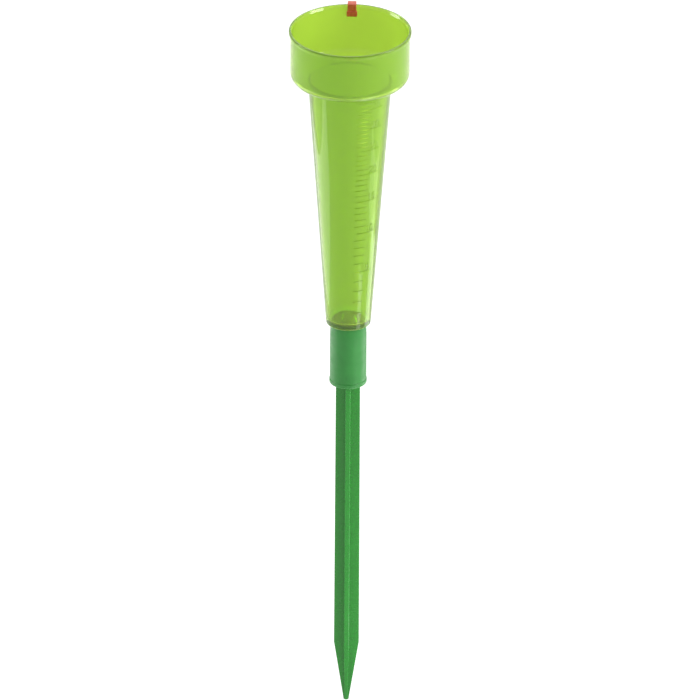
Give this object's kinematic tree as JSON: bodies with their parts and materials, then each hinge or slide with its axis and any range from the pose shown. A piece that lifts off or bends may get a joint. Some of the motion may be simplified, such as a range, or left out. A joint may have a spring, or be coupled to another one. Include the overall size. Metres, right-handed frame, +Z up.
{
  "type": "manual rain gauge",
  "caption": "Clear conical rain gauge with a wide catching collar and a raised rain scale, pushed into a socket sleeve on a cross-shaped ground spike.",
  "frame": {"origin": "centre of the spike's blunt tip", "axes": "+Z up along the spike, sleeve and beaker; the rain scale faces -Y, turned towards +X; the rim clip is at the rear, towards +Y"},
  "size_m": [0.0678, 0.069, 0.4156],
  "materials": {
    "spike_green": "moulded plastic, half gloss",
    "sleeve_green": "moulded plastic, satin",
    "clear_lime": "clear tinted plastic, polished",
    "clip_red": "moulded plastic, half gloss"
  },
  "bodies": {
    "spike": {"ground_spike": "spike_green"},
    "sleeve": {"socket_sleeve": "sleeve_green"},
    "beaker": {"measuring_beaker": "clear_lime"},
    "clip": {"rim_clip": "clip_red"}
  },
  "joints": [
    {"name": "sleeve_lift", "type": "slide", "parent": "spike", "child": "sleeve", "axis": [0, 0, 1], "range_m": [0, 0.03]},
    {"name": "beaker_lift", "type": "slide", "parent": "sleeve", "child": "beaker", "axis": [0, 0, 1], "range_m": [0, 0.03]},
    {"name": "clip_lift", "type": "slide", "parent": "beaker", "child": "clip", "axis": [0, 0, 1], "range_m": [0, 0.012]}
  ]
}
